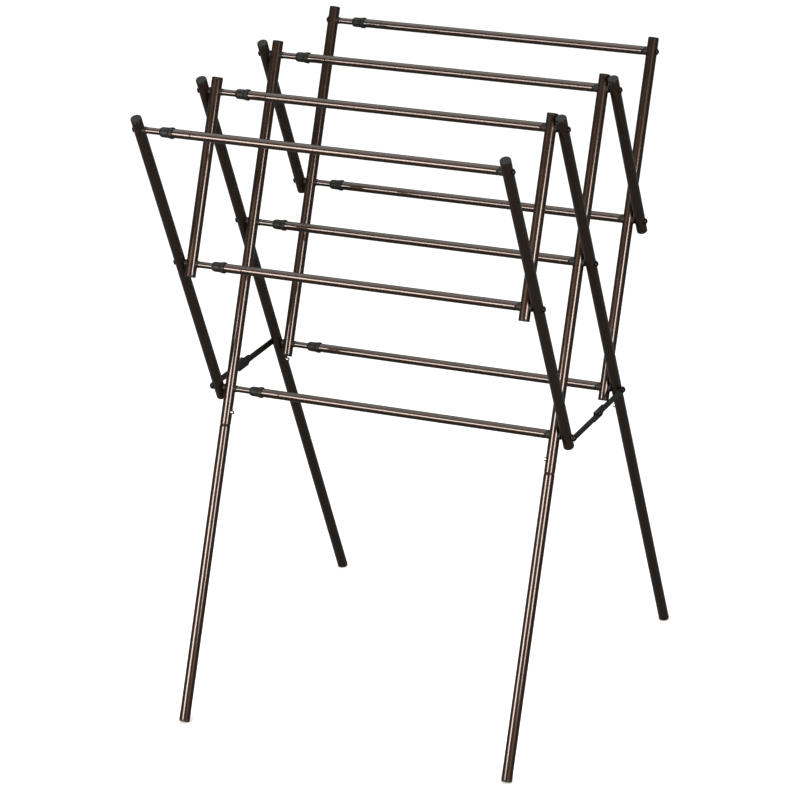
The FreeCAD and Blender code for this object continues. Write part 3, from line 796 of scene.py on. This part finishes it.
def rearLinkPlate(side, span):
    # The strip widens to a plate round the knee, whose flange stops the other link.
    look, half, quarter = stayLook, stayLook["width"] / 2, math.pi / 2
    corner, thick, drop, rise = look["plateCorner"], look["thickness"], look["plateDrop"], look["plateRise"]
    plateStart, plateEnd = -span + look["plateLength"] / 2, -span - look["plateLength"] / 2
    points = arc((0, 0), half, -quarter, quarter, look["endSteps"])
    points += [(plateStart + half, half), (plateStart, rise), (plateEnd, rise)]
    points += arc((plateEnd + corner, -drop + corner), corner, 2 * quarter, 3 * quarter,
                  look["cornerSteps"])
    points += arc((plateStart - corner, -drop + corner), corner, 3 * quarter, 4 * quarter,
                  look["cornerSteps"])
    points += [(plateStart, -half - look["plateStep"]), (plateStart + half / 2, -half)]
    link = plate(pieceName("stay_rear_link", side), points, thick)
    flangeEnd = -span + look["flangeTail"]
    flange = plate("flange", [(flangeEnd, rise), (plateEnd, rise), (plateEnd, rise - thick),
                              (flangeEnd, rise - thick)], thick + look["flangeReach"])
    union = link.modifiers.new("union", "BOOLEAN")
    union.operation, union.solver, union.object = "UNION", "EXACT", flange
    applyModifiers(link)
    bpy.data.objects.remove(flange)
    return link


def faceOf(node, turn):
    low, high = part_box(node)
    return low.x if turn > 0 else high.x


def finishLink(link, body, pivot, turn):
    # Rounds the pressed edges and puts the link on its pivot.
    rounding = link.modifiers.new("rounding", "BEVEL")
    rounding.width, rounding.segments = stayLook["edge"] * mm, 2
    rounding.limit_method, rounding.angle_limit = "ANGLE", math.radians(stayLook["bevelFrom"])
    rounding.harden_normals = True
    applyModifiers(link)
    link.data.materials.append(stripPaint)
    placed(link, Vector((faceOf(body, turn), pivot.y, pivot.z)), turn < 0)
    for polygon in link.data.polygons:
        polygon.use_smooth = True
    link.data.set_sharp_from_angle(angle=crease)
    settle(link, body, "stay", body)


def foldingStay(side):
    turn, front, rear = sides[side], pivotOf("stay_front_" + side), pivotOf("stay_rear_" + side)
    span, thick = (rear - front).length / 2 / mm, stayLook["thickness"]
    frontBody, rearBody = "stay_front_link_" + side, "stay_rear_link_" + side
    finishLink(frontLinkPlate(side, span), frontBody, front, turn)
    finishLink(rearLinkPlate(side, span), rearBody, rear, turn)
    knee = Vector((faceOf(frontBody, turn) + turn * thick * mm, front.y + span * mm, front.z))
    head = turnedRow(pieceName("stay", side, "knee", "rivet"), rivetOutline(thick), blackSteel, knee,
                     (turn, 0, 0), (0, 1, 0), segments=rivetLook["segments"])
    settle(head, frontBody, "rivet", frontBody)


buttonLook = {
    "pin": 7.0,          # mm
    "ball": 7.0,         # radius of its dome
    "edge": 0.4,
    "domeSteps": 5,
    "stand": 4.0,        # out of the leg
    "flange": 1.0,       # round the pin
    "flangeThickness": 1.2,
    "flangeRim": 0.3,
    "leafSeat": 4.4,     # leg's axis to the spring's outer face
    "leafThickness": 1.0,
    "leafWidth": 8.0,
    "leafRise": 6.0,     # above the middle of the pin
    "leafCorner": 2.0,
    "leafSteps": 5,
    "segments": 40,
}


def snapPin(seat, turn, up):
    # Domed pin with its flange.
    look, radius, steps = buttonLook, buttonLook["pin"] / 2, buttonLook["domeSteps"]
    ball = look["ball"]
    centre = tubeRadius + look["stand"] - look["leafSeat"] - ball
    dome = []
    for step in range(steps):
        across = radius * step / steps
        dome.append((across, centre + math.sqrt(ball ** 2 - across ** 2)))
    shoulder = centre + math.sqrt(ball ** 2 - radius ** 2)
    rim, thick = radius + look["flange"], look["flangeThickness"]
    points = outline(*dome, (radius, shoulder, look["edge"]), (radius, thick),
                     (rim, thick, look["flangeRim"]), (rim, 0), (0, 0))
    return turnedRow("pin", points, nickel, seat, (-turn, 0, 0), up, segments=look["segments"])


def snapLeaf(seat, turn, up, long):
    # Flat spring that lies along the inside of the leg, with round corners.
    look, corner, quarter = buttonLook, buttonLook["leafCorner"], math.pi / 2
    half, top, bottom = look["leafWidth"] / 2, look["leafRise"], look["leafRise"] - long
    centres = ((half - corner, top - corner), (corner - half, top - corner),
               (corner - half, bottom + corner), (half - corner, bottom + corner))
    ring = []
    for number, centre in enumerate(centres):
        ring += arc(centre, corner, number * quarter, (number + 1) * quarter, look["leafSteps"])
    leaning = [(y * up.z + z * up.y, z * up.z - y * up.y) for y, z in ring]
    leaf = plate("leaf", leaning, look["leafThickness"])
    leaf.data.materials.append(nickel)
    placed(leaf, seat, turn < 0)
    return leaf


def snapButton(name, side):
    # Pin and spring, pressed into one piece.
    node, turn = name + "_snap_button_" + side, sides[side]
    start, up = topPivot(name, side), members[name]["up"]
    low, high = reach(node, start, up)
    seat = start + up * (high - buttonLook["leafRise"]) * mm
    seat.x -= turn * buttonLook["leafSeat"] * mm
    pieces = [snapPin(seat, turn, up), snapLeaf(seat, turn, up, high - low)]
    settle(joined(pieceName(name, side, "snap", "button"), pieces), node, "button", node)


for side in sides:
    for name, member in members.items():
        uprightTube(name, side)
        endCaps(name, side)
        if name.endswith("leg"):
            legFoot(name, side)
            snapButton(name, side)
        if member["crossed"]:
            pivotRivets(name, side)
            pivotSpacers(name, side)
            pivotSaddles(name, side)
            if side == "left":
                slimRods(name)
            else:
                outerRods(name)
                rodCollars(name)
    print(side, "side frame and its rods made")
    foldingStay(side)
    print(side, "folding stay made")


cameraLook = {
    "azimuth": 25.09,    # degrees to the right of straight in front
    "elevation": 21.93,
    "roll": -1.73,
    "distance": 6.247,   # metres to the point that it looks at
    "focal": 160.37,     # mm
    "sensor": 36.0,
    "aim": (-0.0226, -0.0235, -0.0292),   # metres from the middle of the rack
}


def studioCamera():
    look = cameraLook
    azimuth, elevation = math.radians(look["azimuth"]), math.radians(look["elevation"])
    back = Vector((math.sin(azimuth) * math.cos(elevation), -math.cos(azimuth) * math.cos(elevation),
                   math.sin(elevation)))
    middle = (cadBox[0] + cadBox[1]) / 2 + Vector(look["aim"])
    data = bpy.data.cameras.new("camera")
    data.lens, data.sensor_width = look["focal"], look["sensor"]
    camera = bpy.data.objects.new("camera", data)
    bpy.context.scene.collection.objects.link(camera)
    turned = back.to_track_quat("Z", "Y").to_matrix().to_4x4()
    rolled = Matrix.Rotation(math.radians(look["roll"]), 4, "Z")
    camera.matrix_world = Matrix.Translation(middle + back * look["distance"]) @ turned @ rolled
    bpy.context.scene.camera = camera


# toward is the direction from the rack. A softbox has its size in metres and its power in watts.
# The key is a wide sun overhead, so it lights the whole floor evenly.
lightLook = {
    "frontSoftbox": {"toward": (-0.352, -0.909, 0.223), "distance": 3.04, "size": (1.25, 1.05),
                     "power": 105, "colour": "#fff5f0"},
    "sideSoftbox": {"toward": (0.787, -0.570, 0.220), "distance": 3.0, "size": (0.9, 1.25),
                    "power": 88, "colour": "#fff5f0"},
    "key": {"toward": (-0.05, 0.05, 1.0), "distance": 4.0, "spread": 90.0, "strength": 3.4},
}


def studioLights():
    middle = (cadBox[0] + cadBox[1]) / 2
    for name, look in lightLook.items():
        toward = Vector(look["toward"]).normalized()
        if "spread" in look:
            data = bpy.data.lights.new(name, "SUN")
            data.angle = math.radians(look["spread"])
            data.energy = look["strength"]
        else:
            data = bpy.data.lights.new(name, "AREA")
            data.shape = "RECTANGLE"
            data.size, data.size_y = look["size"]
            data.energy = look["power"]
            data.color = linear(look["colour"])[:3]
        lamp = bpy.data.objects.new(name, data)
        turned = toward.to_track_quat("Z", "Y").to_matrix().to_4x4()
        lamp.matrix_world = Matrix.Translation(middle + toward * look["distance"]) @ turned
        bpy.context.scene.collection.objects.link(lamp)


# Painted studio floor: off-white and matt.
floorLook = {
    "half": 30.0,   # metres
    "fixed": {"Specular IOR Level": 0.2},
    "colours": ("#efedea", "#f3f1ee"),
    "mottle": (400.0, 2.0),
    "cloud": (90.0, 2.0),
    "roughness": (0.75, 0.85),
}


def studioFloor():
    half = floorLook["half"]
    mesh = bpy.data.meshes.new("studioFloor")
    mesh.from_pydata([(-half, -half, 0), (half, -half, 0), (half, half, 0), (-half, half, 0)], [],
                     [(0, 1, 2, 3)])
    mesh.materials.append(finish("paleStudioFloor", floorLook))
    floor = bpy.data.objects.new("studioFloor", mesh)
    bpy.context.scene.collection.objects.link(floor)
    floor.visible_glossy = False   # keeps the floor out of the gloss, which stays dark on undersides


skyLook = {"colour": "#dff0f5", "strength": 0.19}


def studioSky():
    world = bpy.data.worlds.new("studioSky")
    world.use_nodes = True
    sky = world.node_tree.nodes["Background"]
    sky.inputs["Color"].default_value = linear(skyLook["colour"])
    sky.inputs["Strength"].default_value = skyLook["strength"]
    bpy.context.scene.world = world


studioCamera()
studioLights()
studioFloor()
studioSky()
bpy.context.scene.view_settings.view_transform = "Standard"
print("studio ready")
